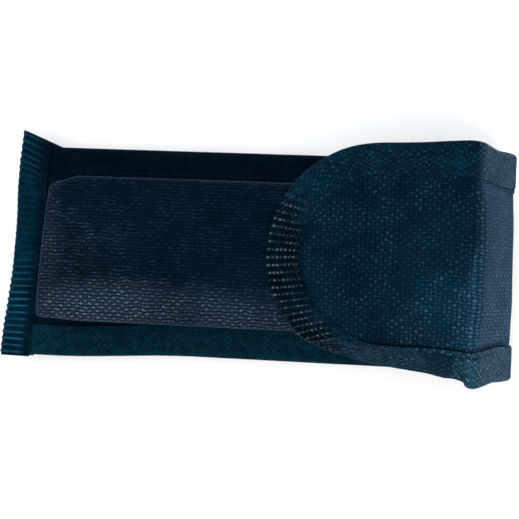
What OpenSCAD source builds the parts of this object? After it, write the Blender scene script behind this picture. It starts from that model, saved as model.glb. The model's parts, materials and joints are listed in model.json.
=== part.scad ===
// Belt pouch for a compact flashlight.
//
// A box pocket stands on a stiff back panel with a taped flange round it. The crown, a short
// end wall, rises from the back panel past the pocket's mouth, and the flap folds from the
// crown over the pocket's face. The pouch lies on its belt loop: +X points to the mouth, +Z
// out of the pocket's face, and the origin is on the ground under the middle of the pouch.

/* [Back panel] */
// Length of the closed pouch, from the closed end to the foot of the crown
pouch_length = 151; // [135:1:170]
// Width of the back panel over its side bindings
panel_width = 61; // [58:0.5:68]
// How far the end binding reaches past each side binding
end_flare = 1; // [0:0.5:2]

/* [Pocket] */
// Width of the box pocket
box_width = 40.5; // [36:0.5:41]
// Rise of the pocket's face above its flanges
box_rise = 30; // [24:1:36]
// Lean of the closed end wall, in degrees from upright
end_lean = 15.5; // [0:0.5:20]
// Radius of the pocket's long edges
edge_radius = 3; // [2:0.5:6]

/* [Crown and flap] */
// Lean of the crown towards the pocket, in degrees from upright
crown_lean = 18; // [6:0.5:20]
// Width of the crown at its foot
crown_foot_width = 65; // [62:0.5:68]
// Width of the crown and the flap at the fold between them
fold_width = 66; // [64:0.5:72]
// Width of the flap where its round tip begins
flap_tip_width = 64.5; // [60:0.5:68]
// Reach of the flap from the fold to its tip
flap_reach = 56.5; // [48:0.5:66]

/* [Layers] */
// Width of the binding tape that shows on each face
tape_width = 9.8; // [8:0.2:12]
// Thickness of the binding tape
tape_t = 0.8; // [0.5:0.1:1]
// Thickness of the outer fabric
shell_t = 0.9; // [0.6:0.1:1.2]
// Thickness of the foam and of the stiffeners
foam_t = 1.2; // [0.8:0.1:1.6]
// Thickness of the lining
lining_t = 0.5; // [0.3:0.1:0.8]
// Thickness of the hook patch and of the loop patch
patch_t = 0.8; // [0.5:0.1:1]

/* [Belt loop] */
// Width of the loop's webbing, along the belt
loop_width = 40; // [30:1:40]
// Widest belt that the loop takes
belt_width = 60; // [45:1:64]
// Thickness of the webbing
strap_t = 2; // [1.5:0.25:2.5]
// Height of the gap that the belt passes through
belt_gap = 6; // [5:0.5:8]

/* [Hidden] */
$fn = 64;

fabric_colour = "#1a2634";
tape_colour = "#141d29";
lining_colour = "#20242b";
foam_colour = "#3a3f47";
patch_colour = "#0f151e";

// Room between pieces of different bodies, and between a tape and the wall beside it
clearance = 0.3;
seam_gap = 0.2;
// Overcut of a tool solid past the face that it cuts, and past the pocket's slanted rim
over = 1;
rim_over = 10;
// Smallest radius kept on an inner edge, and flats in the round of the closed end
least_radius = 0.3;
edge_steps = 8;

// Levels of the back panel, from the ground up
back_z = strap_t + belt_gap;
back_top_z = back_z + shell_t;
front_lining_z = back_top_z + lining_t;
flange_z = front_lining_z + lining_t;
flange_top_z = flange_z + shell_t;
tape_low_z = back_z - tape_t;
tape_top_z = flange_top_z + tape_t;
hinge_z = (tape_low_z + tape_top_z) / 2;
face_z = flange_top_z + box_rise;

// Levels of the flap, up from the face it lies on
hook_z = face_z + patch_t + clearance;
flap_z = hook_z + patch_t;
stack_t = lining_t + foam_t + shell_t;
flap_top_z = flap_z + stack_t;
fold_z = flap_z + stack_t / 2;

// The crown and the flap are flat stacks about the plane through their fold lines
half_stack = stack_t / 2;
half_taped = half_stack + tape_t;
// Bare fabric between each stack and the line that it folds about
foot_gap = 3.6;
fold_gap = 2.4;

// Places along the pouch
end_x = -pouch_length / 2;
hinge_x = pouch_length / 2 - half_taped * cos(crown_lean) + foot_gap * sin(crown_lean);
fold_x = hinge_x - (fold_z - hinge_z) * tan(crown_lean);
crown_rise = (fold_z - hinge_z) / cos(crown_lean);
crown_top = crown_rise - fold_gap;
flap_root_x = fold_x - fold_gap;
flap_tip_x = fold_x - flap_reach;
tip_centre_x = flap_tip_x + flap_tip_width / 2;
end_foot_x = end_x + tape_width + seam_gap;
stack_end_x = end_x + tape_t;
stack_half_y = panel_width / 2 - tape_t;

// Insets of the pocket's layers from its outer faces
foam_in = shell_t;
lining_in = shell_t + foam_t;
inside_in = lining_in + lining_t;
pocket_half_y = box_width / 2 - inside_in;
// The pocket's rim stands this far inside the crown's middle plane
rim_gap = 2.6;
rim_band = 9;
foam_setback = 1;

// Raised middle of the back lining, over the back stiffener
lining_edge_y = pocket_half_y - seam_gap;
lining_start_x = end_foot_x + inside_in / cos(end_lean) + seam_gap;
lining_end_x = hinge_x - 1;
lining_top_z = back_top_z + foam_t + lining_t;

// Hook patch and loop patch: middle, and sizes along X and Y
patch_x = 37;
hook_size = [24, 28];
loop_size = [28, 31];

// Belt loop: run of each slope, and length of each sewn end
loop_slope = 6;
loop_sewn = 10;
tack_size = [1.6, 12, 0.5];
tack_places = [for (x = [-1, 1], y = [-1, 1]) [x, y]];

// ---------------------------------------------------------------- helpers

// A slab between two corners
module slab(low, high) {
  translate(low) cube(high - low);
}

// A profile drawn in X and Z, run along Y by the given length about the middle
module run_y(length) {
  rotate([90, 0, 0]) linear_extrude(length, center = true) children();
}

// A profile drawn in Y and Z, run along X from one place to another
module run_x(from, to) {
  translate([from, 0, 0]) rotate([90, 0, 90]) linear_extrude(to - from) children();
}

function end_wall_x(z, inset) =
  end_foot_x + (z - flange_top_z) * tan(end_lean) + inset / cos(end_lean);

function rim_x(z, beyond) =
  hinge_x - (z - hinge_z) * tan(crown_lean) - (rim_gap - beyond) / cos(crown_lean);

function crown_half_y(u) =
  (crown_foot_width + (fold_width - crown_foot_width) * u / crown_rise) / 2;

// ---------------------------------------------------------------- pocket

// Side view of the pocket at an inset, from a level up to the face
module pocket_side(inset, low_z, beyond) {
  top_z = face_z - inset;
  r = max(edge_radius - inset, least_radius);
  edge_x = end_wall_x(top_z - r, inset) + r / cos(end_lean);
  polygon([
    [end_wall_x(low_z, inset), low_z],
    for (step = [0 : edge_steps])
      let (a = 180 - end_lean + (end_lean - 90) * step / edge_steps)
        [edge_x + r * cos(a), top_z - r + r * sin(a)],
    [rim_x(top_z, beyond), top_z],
    [rim_x(low_z, beyond), low_z]
  ]);
}

// Cross-section of the pocket at an inset, with round upper edges
module pocket_cross(inset, low_z) {
  top_z = face_z - inset;
  r = max(edge_radius - inset, least_radius);
  half = box_width / 2 - inset;
  translate([-half, low_z]) square([2 * half, top_z - r - low_z]);
  translate([-half + r, low_z]) square([2 * (half - r), top_z - low_z]);
  for (side = [-1, 1]) translate([side * (half - r), top_z - r]) circle(r);
}

// The solid inside the pocket's faces at an inset
module pocket_form(inset, low_z, beyond = 0) {
  intersection() {
    run_y(2 * panel_width) pocket_side(inset, low_z, beyond);
    run_x(-pouch_length, pouch_length) pocket_cross(inset, low_z);
  }
}

// A flange round the pocket, from one level to another
module flange(low_z, high_z) {
  slab([stack_end_x, -stack_half_y, low_z], [hinge_x, stack_half_y, high_z]);
}

module front_shell() {
  color(fabric_colour)
    difference() {
      union() {
        pocket_form(0, flange_z);
        flange(flange_z, flange_top_z);
      }
      pocket_form(shell_t, flange_z - over, rim_over);
    }
}

module front_foam() {
  color(foam_colour)
    difference() {
      pocket_form(foam_in, flange_z, -foam_setback);
      pocket_form(lining_in, flange_z - over, rim_over);
    }
}

module front_lining() {
  color(lining_colour)
    difference() {
      union() {
        pocket_form(lining_in, front_lining_z);
        flange(front_lining_z, flange_z);
      }
      pocket_form(inside_in, front_lining_z - over, rim_over);
    }
}

// The tape folded over the pocket's rim, inside and out
module mouth_binding() {
  low_z = tape_top_z + seam_gap;
  color(tape_colour)
    difference() {
      pocket_form(-tape_t, low_z, tape_t);
      pocket_form(-tape_t - over, low_z - over, -rim_band);
      pocket_form(inside_in + tape_t, low_z - over, rim_over);
      difference() {
        pocket_form(0, low_z - over);
        pocket_form(inside_in, low_z - over, over);
      }
    }
}

module loop_patch() {
  color(patch_colour)
    translate([patch_x - loop_size.x / 2, -loop_size.y / 2, face_z])
      cube([loop_size.x, loop_size.y, patch_t]);
}

// ---------------------------------------------------------------- back panel

module back_shell() {
  color(fabric_colour) flange(back_z, back_top_z);
}

module back_stiffener() {
  color(foam_colour)
    slab(
      [lining_start_x + lining_t, lining_t - lining_edge_y, back_top_z],
      [lining_end_x - lining_t, lining_edge_y - lining_t, lining_top_z - lining_t]
    );
}

// Flat under the flanges, and raised in the middle over the stiffener
module back_lining() {
  color(lining_colour)
    difference() {
      union() {
        slab([stack_end_x, -stack_half_y, back_top_z], [lining_end_x, stack_half_y, front_lining_z]);
        slab([lining_start_x, -lining_edge_y, back_top_z], [lining_end_x, lining_edge_y, lining_top_z]);
      }
      slab(
        [lining_start_x + lining_t, lining_t - lining_edge_y, back_top_z - over],
        [lining_end_x - lining_t, lining_edge_y - lining_t, lining_top_z - lining_t]
      );
    }
}

// A tape folded round one long edge: side is 1 on the left and -1 on the right
module side_tape(side) {
  inner_y = box_width / 2 + seam_gap;
  depth = panel_width / 2 - inner_y;
  run_x(end_foot_x, hinge_x)
    scale([side, 1])
      difference() {
        translate([inner_y, tape_low_z]) square([depth, tape_top_z - tape_low_z]);
        translate([inner_y - over, back_z]) square([depth + over - tape_t, flange_top_z - back_z]);
      }
}

module side_binding_left() {
  color(tape_colour) side_tape(1);
}

module side_binding_right() {
  color(tape_colour) side_tape(-1);
}

module end_binding() {
  color(tape_colour)
    run_y(panel_width + 2 * end_flare)
      difference() {
        translate([end_x, tape_low_z]) square([tape_width, tape_top_z - tape_low_z]);
        translate([stack_end_x, back_z]) square([tape_width, flange_top_z - back_z]);
      }
}

// ---------------------------------------------------------------- belt loop

// Webbing sewn to the back at both ends, standing off between them for a belt
module belt_loop() {
  gap_end = belt_width / 2;
  slope_end = gap_end + loop_slope;
  sewn_end = slope_end + loop_sewn;
  bend = strap_t / 2;
  color(tape_colour)
    run_y(loop_width)
      polygon([
        [-sewn_end, back_z],
        [-slope_end, back_z],
        [-gap_end, strap_t],
        [gap_end, strap_t],
        [slope_end, back_z],
        [sewn_end, back_z],
        [sewn_end, back_z - strap_t],
        [slope_end + bend, back_z - strap_t],
        [gap_end + bend, 0],
        [-gap_end - bend, 0],
        [-slope_end - bend, back_z - strap_t],
        [-sewn_end, back_z - strap_t]
      ]);
}

module belt_loop_bar_tacks() {
  tack_x = belt_width / 2 + loop_slope + loop_sewn / 2 + strap_t / 4;
  tack_y = loop_width / 3;
  color(patch_colour)
    for (p = tack_places)
      translate([p.x * tack_x, p.y * tack_y, back_z - strap_t - tack_size.z / 2])
        cube(tack_size, center = true);
}

// ---------------------------------------------------------------- crown

// The crown's own frame: Z up its middle plane from the hinge line, X out of the pouch
module on_crown() {
  translate([hinge_x, 0, hinge_z]) rotate([0, -crown_lean, 0]) children();
}

// A layer of the crown between two offsets from its middle plane, inset at its sides
module crown_layer(from, to, inset) {
  foot = crown_half_y(foot_gap) - inset;
  top = crown_half_y(crown_top) - inset;
  run_x(from, to)
    polygon([[-foot, foot_gap], [foot, foot_gap], [top, crown_top], [-top, crown_top]]);
}

module crown_shell() {
  color(fabric_colour) on_crown() crown_layer(half_stack - shell_t, half_stack, tape_t);
}

module crown_stiffener() {
  color(foam_colour)
    on_crown() crown_layer(lining_t - half_stack, half_stack - shell_t, tape_t);
}

module crown_lining() {
  color(lining_colour) on_crown() crown_layer(-half_stack, lining_t - half_stack, tape_t);
}

module crown_tape(side) {
  on_crown()
    intersection() {
      difference() {
        crown_layer(-half_taped, half_taped, 0);
        crown_layer(-half_stack, half_stack, tape_t);
        crown_layer(-half_taped - over, half_taped + over, tape_width);
      }
      translate([-fold_width / 2, side > 0 ? 0 : -fold_width, 0]) cube(fold_width);
    }
}

module crown_binding_left() {
  color(tape_colour) crown_tape(1);
}

module crown_binding_right() {
  color(tape_colour) crown_tape(-1);
}

// ---------------------------------------------------------------- flap

// Outline of the flap from above, with its round tip, inset from its edge
module flap_outline(inset) {
  tip = flap_tip_width / 2 - inset;
  root = crown_half_y(crown_rise) - inset;
  translate([tip_centre_x, 0]) circle(tip, $fn = 128);
  polygon([[tip_centre_x, -tip], [flap_root_x, -root], [flap_root_x, root], [tip_centre_x, tip]]);
}

// A layer of the flap from one level to another
module flap_layer(low_z, high_z, inset) {
  translate([0, 0, low_z])
    linear_extrude(high_z - low_z)
      intersection() {
        flap_outline(inset);
        translate([flap_tip_x, -fold_width]) square([flap_root_x - flap_tip_x, 2 * fold_width]);
      }
}

module flap_shell() {
  color(fabric_colour) flap_layer(flap_top_z - shell_t, flap_top_z, tape_t);
}

module flap_stiffener() {
  color(foam_colour) flap_layer(flap_z + lining_t, flap_top_z - shell_t, tape_t);
}

module flap_lining() {
  color(lining_colour) flap_layer(flap_z, flap_z + lining_t, tape_t);
}

module flap_binding() {
  color(tape_colour)
    difference() {
      flap_layer(flap_z - tape_t, flap_top_z + tape_t, 0);
      translate([over, 0, 0]) flap_layer(flap_z, flap_top_z, tape_t);
      flap_layer(flap_z, flap_top_z, tape_t);
      translate([over, 0, 0]) flap_layer(flap_z - tape_t - over, flap_top_z + tape_t + over, tape_width);
    }
}

module hook_patch() {
  color(patch_colour)
    translate([patch_x - hook_size.x / 2, -hook_size.y / 2, hook_z])
      cube([hook_size.x, hook_size.y, patch_t]);
}

// ---------------------------------------------------------------- assembly

back_shell();
back_stiffener();
back_lining();
front_shell();
front_foam();
front_lining();
mouth_binding();
loop_patch();
side_binding_left();
side_binding_right();
end_binding();
belt_loop();
belt_loop_bar_tacks();
crown_shell();
crown_stiffener();
crown_lining();
crown_binding_left();
crown_binding_right();
flap_shell();
flap_stiffener();
flap_lining();
flap_binding();
hook_patch();
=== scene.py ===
import json
import math

import bmesh
import bpy
import numpy as np
from mathutils import Matrix, Vector

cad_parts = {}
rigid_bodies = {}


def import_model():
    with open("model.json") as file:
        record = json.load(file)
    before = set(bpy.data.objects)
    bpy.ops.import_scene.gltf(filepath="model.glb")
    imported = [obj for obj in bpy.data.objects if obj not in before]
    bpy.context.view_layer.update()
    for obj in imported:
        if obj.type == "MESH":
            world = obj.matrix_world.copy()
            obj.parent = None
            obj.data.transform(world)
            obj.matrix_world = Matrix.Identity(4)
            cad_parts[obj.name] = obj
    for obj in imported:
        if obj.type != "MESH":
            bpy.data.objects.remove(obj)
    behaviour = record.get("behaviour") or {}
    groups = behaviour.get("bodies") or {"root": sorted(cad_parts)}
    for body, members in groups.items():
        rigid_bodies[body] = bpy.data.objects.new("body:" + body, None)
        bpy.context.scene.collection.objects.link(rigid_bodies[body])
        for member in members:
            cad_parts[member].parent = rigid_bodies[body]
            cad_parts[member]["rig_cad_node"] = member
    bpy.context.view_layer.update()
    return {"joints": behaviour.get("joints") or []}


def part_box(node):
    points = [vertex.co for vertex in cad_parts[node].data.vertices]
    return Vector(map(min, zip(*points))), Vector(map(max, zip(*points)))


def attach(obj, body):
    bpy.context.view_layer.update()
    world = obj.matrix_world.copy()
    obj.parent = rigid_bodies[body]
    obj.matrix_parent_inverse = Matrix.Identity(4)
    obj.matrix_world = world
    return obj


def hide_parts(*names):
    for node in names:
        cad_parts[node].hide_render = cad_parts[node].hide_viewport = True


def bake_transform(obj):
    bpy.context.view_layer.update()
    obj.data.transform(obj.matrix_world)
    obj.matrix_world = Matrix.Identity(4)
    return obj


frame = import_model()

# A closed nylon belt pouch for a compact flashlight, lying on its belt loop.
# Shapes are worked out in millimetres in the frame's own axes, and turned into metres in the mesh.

MM = 0.001
JOINTS = {j["name"]: j for j in frame["joints"]}


def joint_place(name):
    """X and Z of a hinge's line, in mm."""
    x, _, z = JOINTS[name]["pos_m"]
    return x / MM, z / MM


def node_box(name):
    """Lowest and highest corner of a CAD node, in mm."""
    low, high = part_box(name)
    return np.array(low) / MM, np.array(high) / MM


# ---------------------------------------------------------------- sizes, in mm

FOOT_X, FOOT_Z = joint_place("crown_hinge")
FOLD_X, FOLD_Z = joint_place("flap_fold")
LEAN = math.atan2(FOOT_X - FOLD_X, FOLD_Z - FOOT_Z)
RISE = math.hypot(FOOT_X - FOLD_X, FOLD_Z - FOOT_Z)

PAN_LOW, PAN_HIGH = node_box("front_shell")
FLAP_LOW, FLAP_HIGH = node_box("flap_binding")
END_LOW, END_HIGH = node_box("end_binding")
LINING_LOW, LINING_HIGH = node_box("back_lining")
BOARD_LOW, BOARD_HIGH = node_box("back_stiffener")
_, STRAP_HIGH = node_box("belt_loop")
LOOPS_LOW, LOOPS_HIGH = node_box("loop_patch")
HOOKS_LOW, HOOKS_HIGH = node_box("hook_patch")
BAND_LOW, _ = node_box("mouth_binding")

SHELL_T, FOAM_T, LINING_T, TAPE_T = 0.9, 1.2, 0.5, 0.8
STACK_T = SHELL_T + FOAM_T
TAPE_WIDTH = END_HIGH[0] - END_LOW[0]
FACE_Z = PAN_HIGH[2]
FLANGE_Z = PAN_LOW[2] + SHELL_T
BACK_Z = LINING_LOW[2] - SHELL_T
BOX_HALF = 20.25
RIM_GAP = 2.6

FLAP_HALF = FLAP_HIGH[1] + 0.2
# The flap is sewn a little to the left of the pocket's middle
FLAP_SHIFT = 0.8
FOOT_HALF = 32.5
TIP_R = 33.0
TIP_S = RISE + FOLD_X - FLAP_LOW[0]
TIP_CENTRE_S = TIP_S - TIP_R
MID_S = RISE / 2

RIB_PITCH, TIP_RIB_PITCH, BEAD_PITCH = 2.03, 2.45, 1.2


def ease(low, high, x):
    """Smooth step from 0 at low to 1 at high."""
    t = np.clip((np.asarray(x, float) - low) / (high - low), 0, 1)
    return t * t * (3 - 2 * t)


def hump(x, middle, width):
    """Bell of height 1 round a place."""
    return np.exp(-(((np.asarray(x, float) - middle) / width) ** 2))


def mix(a, b, t):
    """The value a share t of the way from a to b."""
    return a + (b - a) * t


def spread(low, high, step):
    """Evenly spaced values from low to high, about step apart."""
    return np.linspace(low, high, max(2, int(abs(high - low) / step) + 1))


def field(box_low, box_high, step_x, step_y):
    """X and Y of a grid of points over a CAD node's box."""
    return np.meshgrid(spread(box_low[0], box_high[0], step_x), spread(box_low[1], box_high[1], step_y),
                       indexing="ij")


def ripple(x, y, scale, seed):
    """Smooth uneven waves between about -1 and 1, the same on every run."""
    rng = np.random.default_rng(seed)
    total = np.zeros(np.broadcast(x, y).shape)
    for _ in range(7):
        turn, phase = rng.uniform(0, math.tau, 2)
        k = math.tau / (scale * rng.uniform(0.6, 1.7))
        total = total + np.sin(k * (x * math.cos(turn) + y * math.sin(turn)) + phase)
    return total / 3.2


# ---------------------------------------------------------------- meshes

class Build:
    """Collects points and four-sided faces, each face with its places on the flat cloth, in mm."""

    def __init__(self):
        self.points, self.faces, self.flats, self.count = [], [], [], 0

    def add(self, points):
        """Adds a grid of points and returns the grid of their numbers."""
        shape = points.shape[:-1]
        self.points.append(points.reshape(-1, 3))
        ids = np.arange(self.count, self.count + int(np.prod(shape))).reshape(shape)
        self.count += ids.size
        return ids

    def skin(self, ids, flat):
        """Faces over a grid of point numbers. flat gives the cloth's own place of each one."""
        corners = [np.s_[:-1, :-1], np.s_[1:, :-1], np.s_[1:, 1:], np.s_[:-1, 1:]]
        self.faces.append(np.stack([ids[c] for c in corners], -1).reshape(-1, 4))
        self.flats.append(np.stack([flat[c] for c in corners], -2).reshape(-1, 4, 2))

    def object(self, name, material, caps=(), sharp=50):
        """Makes the piece. caps are rows of point numbers to close with one face each."""
        points = np.concatenate(self.points) * MM
        faces, flats = np.concatenate(self.faces), np.concatenate(self.flats)
        mesh = bpy.data.meshes.new(name)
        mesh.vertices.add(len(points))
        mesh.vertices.foreach_set("co", points.astype(np.float32).ravel())
        mesh.loops.add(faces.size)
        mesh.loops.foreach_set("vertex_index", faces.astype(np.int32).ravel())
        mesh.polygons.add(len(faces))
        mesh.polygons.foreach_set("loop_start", np.arange(0, faces.size, 4, dtype=np.int32))
        layer = mesh.uv_layers.new(name="cloth")
        layer.data.foreach_set("uv", flats.astype(np.float32).ravel())
        mesh.update(calc_edges=True)
        face_out(mesh, caps)
        mesh.shade_smooth()
        mesh.set_sharp_from_angle(angle=math.radians(sharp))
        mesh.materials.append(material)
        obj = bpy.data.objects.new(name, mesh)
        bpy.context.scene.collection.objects.link(obj)
        return obj


def face_out(mesh, caps):
    """Closes the caps and turns every face outward."""
    work = bmesh.new()
    work.from_mesh(mesh)
    work.verts.ensure_lookup_table()
    for row in caps:
        work.faces.new([work.verts[i] for i in row])
    bmesh.ops.recalc_face_normals(work, faces=work.faces)
    work.to_mesh(mesh)
    work.free()


def wrapped(ids):
    """A grid closed on itself along its second axis."""
    return np.concatenate([ids, ids[:, :1]], 1)


def border(ids):
    """The numbers round the edge of a grid, in order, closed."""
    return np.concatenate([ids[0, :-1], ids[:-1, -1], ids[-1, :0:-1], ids[:0:-1, 0], ids[0, :1]])


def close_rim(build, rim_a, rim_b, flat):
    """Joins two rims of a thick layer. Both take the cloth's place of the rim."""
    build.skin(np.stack([rim_a, rim_b]), np.stack([flat, flat]))


def add_layer(build, top, bottom, flat):
    """Adds a closed layer of cloth between two grids of points."""
    a, b = build.add(top), build.add(bottom)
    build.skin(a, flat)
    build.skin(b, flat)
    spots = border(np.arange(a.size).reshape(a.shape))
    close_rim(build, border(a), border(b), flat.reshape(-1, 2)[spots])


def thick_layer(name, top, bottom, flat, material):
    """A closed layer of cloth as a piece of its own."""
    build = Build()
    add_layer(build, top, bottom, flat)
    return build.object(name, material)


def swept(name, rings, flat, material):
    """A closed solid through rings of points. flat has one more column, for the ring's closing."""
    build = Build()
    ids = build.add(rings)
    build.skin(wrapped(ids), flat)
    return build.object(name, material, (ids[0], ids[-1]), 60)


# ---------------------------------------------------------------- the strip: back, crown and flap

ALONG = [(1.0, 0.0), (-math.sin(LEAN), math.cos(LEAN)), (-1.0, 0.0)]
FOOT_REACH, FOLD_REACH = 2.6, 5.6
CORNERS = [(0.0, FOOT_REACH, FOOT_X, FOOT_Z, 0), (RISE, FOLD_REACH, FOLD_X, FOLD_Z, 1)]


def strip_line(s):
    """X, Z and outward normal of the strip's middle surface, s mm past the foot of the crown."""
    s = np.asarray(s, float)
    on_back, on_flap = s < 0, s > RISE
    parts = [on_back, on_flap]
    x = np.select(parts, [FOOT_X + s, FOLD_X + RISE - s], FOOT_X - s * math.sin(LEAN))
    z = np.select(parts, [FOOT_Z, FOLD_Z], FOOT_Z + s * math.cos(LEAN))
    tx, tz = np.array(ALONG).T[:, np.select(parts, [0, 2], 1)]
    for place, reach, corner_x, corner_z, first in CORNERS:
        q = np.clip((s - place + reach) / (2 * reach), 0, 1)
        near = np.abs(s - place) < reach
        (ax, az), (bx, bz) = ALONG[first], ALONG[first + 1]
        x = np.where(near, corner_x - (1 - q) ** 2 * reach * ax + q * q * reach * bx, x)
        z = np.where(near, corner_z - (1 - q) ** 2 * reach * az + q * q * reach * bz, z)
        tx, tz = np.where(near, mix(ax, bx, q), tx), np.where(near, mix(az, bz, q), tz)
    size = np.hypot(tx, tz)
    return x, z, tz / size, -tx / size


def half_width(s):
    """Half the strip's width over its tapes, on the crown and the flap."""
    plain = np.interp(s, [0, RISE, TIP_CENTRE_S], [FOOT_HALF, FLAP_HALF, TIP_R])
    return plain + 0.2 * hump(s, RISE - 4, 5) - 0.5 * hump(s, RISE * 0.45, 7)


def edge_distance(s, y):
    """How far a point of the crown or flap lies inside the strip's outline."""
    round_tip = TIP_R - np.hypot(s - TIP_CENTRE_S, y)
    return np.where(s > TIP_CENTRE_S, round_tip, half_width(s) - np.abs(y))


CROWN_BULGE, FLAP_WAVE, TIP_FALL = 0.7, 0.22, 1.7
# Droop of the flap's long edges, in degrees, at places along the strip from the fold to the tip
DROOP_S = RISE + np.array([-9.0, -5.0, 0.0, 3.0, 6.5, 11.0, 16.0, 24.0, 38.0, 57.0])
DROOP_RIGHT = [0, 7, 29, 34, 34, 40, 44, 49, 44, 26]
DROOP_LEFT = [0, 0, 3, 10, 17, 22, 25, 27, 22, 12]
DROOP_Y, DROOP_EASE = 21.0, 5.0
# How far the tip is drawn in all round, besides at its lower right, and less at its upper left
DRAWN, DRAWN_RIGHT, DRAWN_LEFT = 1.0, 1.1, -0.7


def drawn_in(s, y):
    """How far the flap's tip is drawn in towards the tip's centre, along the strip and across it."""
    reach = np.hypot(s - TIP_CENTRE_S, y)
    turn = np.degrees(np.arctan2(y, s - TIP_CENTRE_S))
    pull = DRAWN + DRAWN_RIGHT * hump(turn, -54, 28) + DRAWN_LEFT * ease(45, 75, turn)
    pull = pull * (reach / TIP_R) ** 2 * ease(-4, 14, s - TIP_CENTRE_S)
    return pull * (s - TIP_CENTRE_S) / np.maximum(reach, 1), pull * y / np.maximum(reach, 1)


def strip(s, y, h):
    """Where a point of the strip lies: s along it, y across it and h mm out of its middle surface."""
    s, y, h = np.broadcast_arrays(*(np.asarray(v, float) for v in (s, y, h)))
    x, z, nx, nz = strip_line(s)
    side = np.where(y < 0, -1.0, 1.0)
    past = np.maximum(np.abs(y) - DROOP_Y, 0)
    angle = np.where(y < 0, curve(s, DROOP_S, DROOP_RIGHT), curve(s, DROOP_S, DROOP_LEFT))
    angle = np.radians(angle) * ease(0, DROOP_EASE, past)
    down = -past * np.sin(angle)
    bulge = CROWN_BULGE * np.sin(np.pi * np.clip(s / RISE, 0, 1)) * (1 - (y / 36) ** 2)
    wave = FLAP_WAVE * ripple(s, y, 24, 3) * ease(4, 20, s)
    tuck = 0.8 * hump(s, RISE - 3.5, 1.1) * ease(-21, -26, y)
    out = bulge + wave - tuck - TIP_FALL * ease(TIP_S - 16, TIP_S, s) + h * np.cos(angle)
    across = side * (np.minimum(np.abs(y), DROOP_Y) + past * np.cos(angle) + h * np.sin(angle))
    across = across + FLAP_SHIFT * ease(RISE - 4, RISE + 10, s)
    lift = panel_lift(x, y) * ease(0, -12, s)
    askew = 0.9 * ease(8, -30, y) * hump(s, 0, 14)
    back, inward = drawn_in(s, y)
    return np.stack([x + nx * out + askew + back, across - inward, z + nz * out + down + lift], -1)


EDGE_HALF = 0.45
PAD = 0.55


def stack_top(s, y):
    """Height of the outer fabric over the strip's middle surface, padded inside the tapes."""
    d = edge_distance(s, y)
    side = 1.5 * ease(-14, -21, y) * ease(TIP_S - 12, TIP_S - 30, s)
    side = np.maximum(side, 0.9 * ease(RISE, RISE - 6, s))
    crease = side * hump(d, TAPE_WIDTH + 0.8, 1.8) * ease(4, 12, s)
    full = EDGE_HALF + (1.45 - EDGE_HALF) * ease(TAPE_WIDTH - 1.2, TAPE_WIDTH + 0.9, d)
    thin = ease(1.5, 5.5, s) * (1 - 0.35 * hump(s, RISE, 2.5))
    return mix(EDGE_HALF, full + PAD * ease(TAPE_WIDTH, 24, d) - crease, thin)


def stack_low(s, y):
    """Height of the lining's free face under the middle surface."""
    d = edge_distance(s, y)
    thin = ease(1.5, 5.5, s) * (1 - 0.3 * hump(s, RISE, 3))
    return -mix(EDGE_HALF, mix(EDGE_HALF, 1.3, ease(TAPE_WIDTH - 1, TAPE_WIDTH + 3, d)), thin)


def strip_grid(s_values, inset, columns=121):
    """Grid of (s, y) over the crown and flap, inset from the outline."""
    s = np.asarray(s_values, float)
    past = np.clip(s - TIP_CENTRE_S, 0, TIP_R - inset)
    half = np.where(s > TIP_CENTRE_S, np.sqrt((TIP_R - inset) ** 2 - past**2), half_width(s) - inset)
    t = np.linspace(-1, 1, columns)
    t = np.sign(t) * (1 - (1 - np.abs(t)) ** 1.25)
    return np.repeat(s[:, None], columns, 1), half[:, None] * t


# ---------------------------------------------------------------- the panel under the pocket

SIDE_HALF = 30.5
LEFT_FLARE, RIGHT_FLARE = 4.2, 1.9
# The closed end isn't cut straight: its X at places from the right side to the left
END_Y = [-36, -31, -24, -19, -13, -7, -1, 5, 11, 17, 22, 26, 29, 34, 38]
END_X = [-77.9, -77.9, -77.2, -76.5, -75.8, -75.2, -74.9, -74.6, -74.5, -74.6, -74.4, -74.0, -73.4,
         -72.6, -72.4]


def curve(x, places, values):
    """A smooth line through given values."""
    places, values = np.asarray(places, float), np.asarray(values, float)
    slopes = np.gradient(values, places)
    x = np.clip(np.asarray(x, float), places[0], places[-1])
    i = np.clip(np.searchsorted(places, x) - 1, 0, len(places) - 2)
    step = places[i + 1] - places[i]
    t = (x - places[i]) / step
    return (values[i] * (1 + 2 * t) * (1 - t) ** 2 + slopes[i] * step * t * (1 - t) ** 2
            + values[i + 1] * t * t * (3 - 2 * t) + slopes[i + 1] * step * t * t * (t - 1))


def end_line(y):
    """X of the panel's closed end."""
    return curve(y, END_Y, END_X)


def side_line(x, side):
    """Half width of the panel, which flares at its closed corners."""
    left = LEFT_FLARE * np.clip((-61.3 - np.asarray(x, float)) / 10.3, 0, 1.05)
    right = RIGHT_FLARE * ease(-18, -62, x)
    return SIDE_HALF + np.where(side > 0, left, right)


def panel_lift(x, y):
    """How far the panel's edges wave, and its closed left corner curls up."""
    curl = 2.6 * ease(-62, -73, x) * ease(22, 34, y)
    return curl + 0.25 * ripple(x, y, 30, 5) * ease(22, 30, np.abs(y))


def panel(x, y, h):
    """A point of the flat panel: h is up from its middle level."""
    x, y, h = np.broadcast_arrays(*(np.asarray(v, float) for v in (x, y, h)))
    return np.stack([x, y, FOOT_Z + h + panel_lift(x, y)], -1)


# ---------------------------------------------------------------- tapes

def tape_section(width, half, thick, count):
    """Folded tape's middle line: length along it, distance in from the edge, height, and normal."""
    r = half + thick / 2
    flat = width - r
    q = np.linspace(0, 2 * flat + np.pi * r, count)
    angle = np.clip((q - flat) / r, 0, np.pi)
    over = np.maximum(q - flat - np.pi * r, 0)
    d = np.where(q < flat, width - q, r - r * np.sin(angle) + over)
    return q, d, r * np.cos(angle), -np.sin(angle), np.cos(angle)


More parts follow.
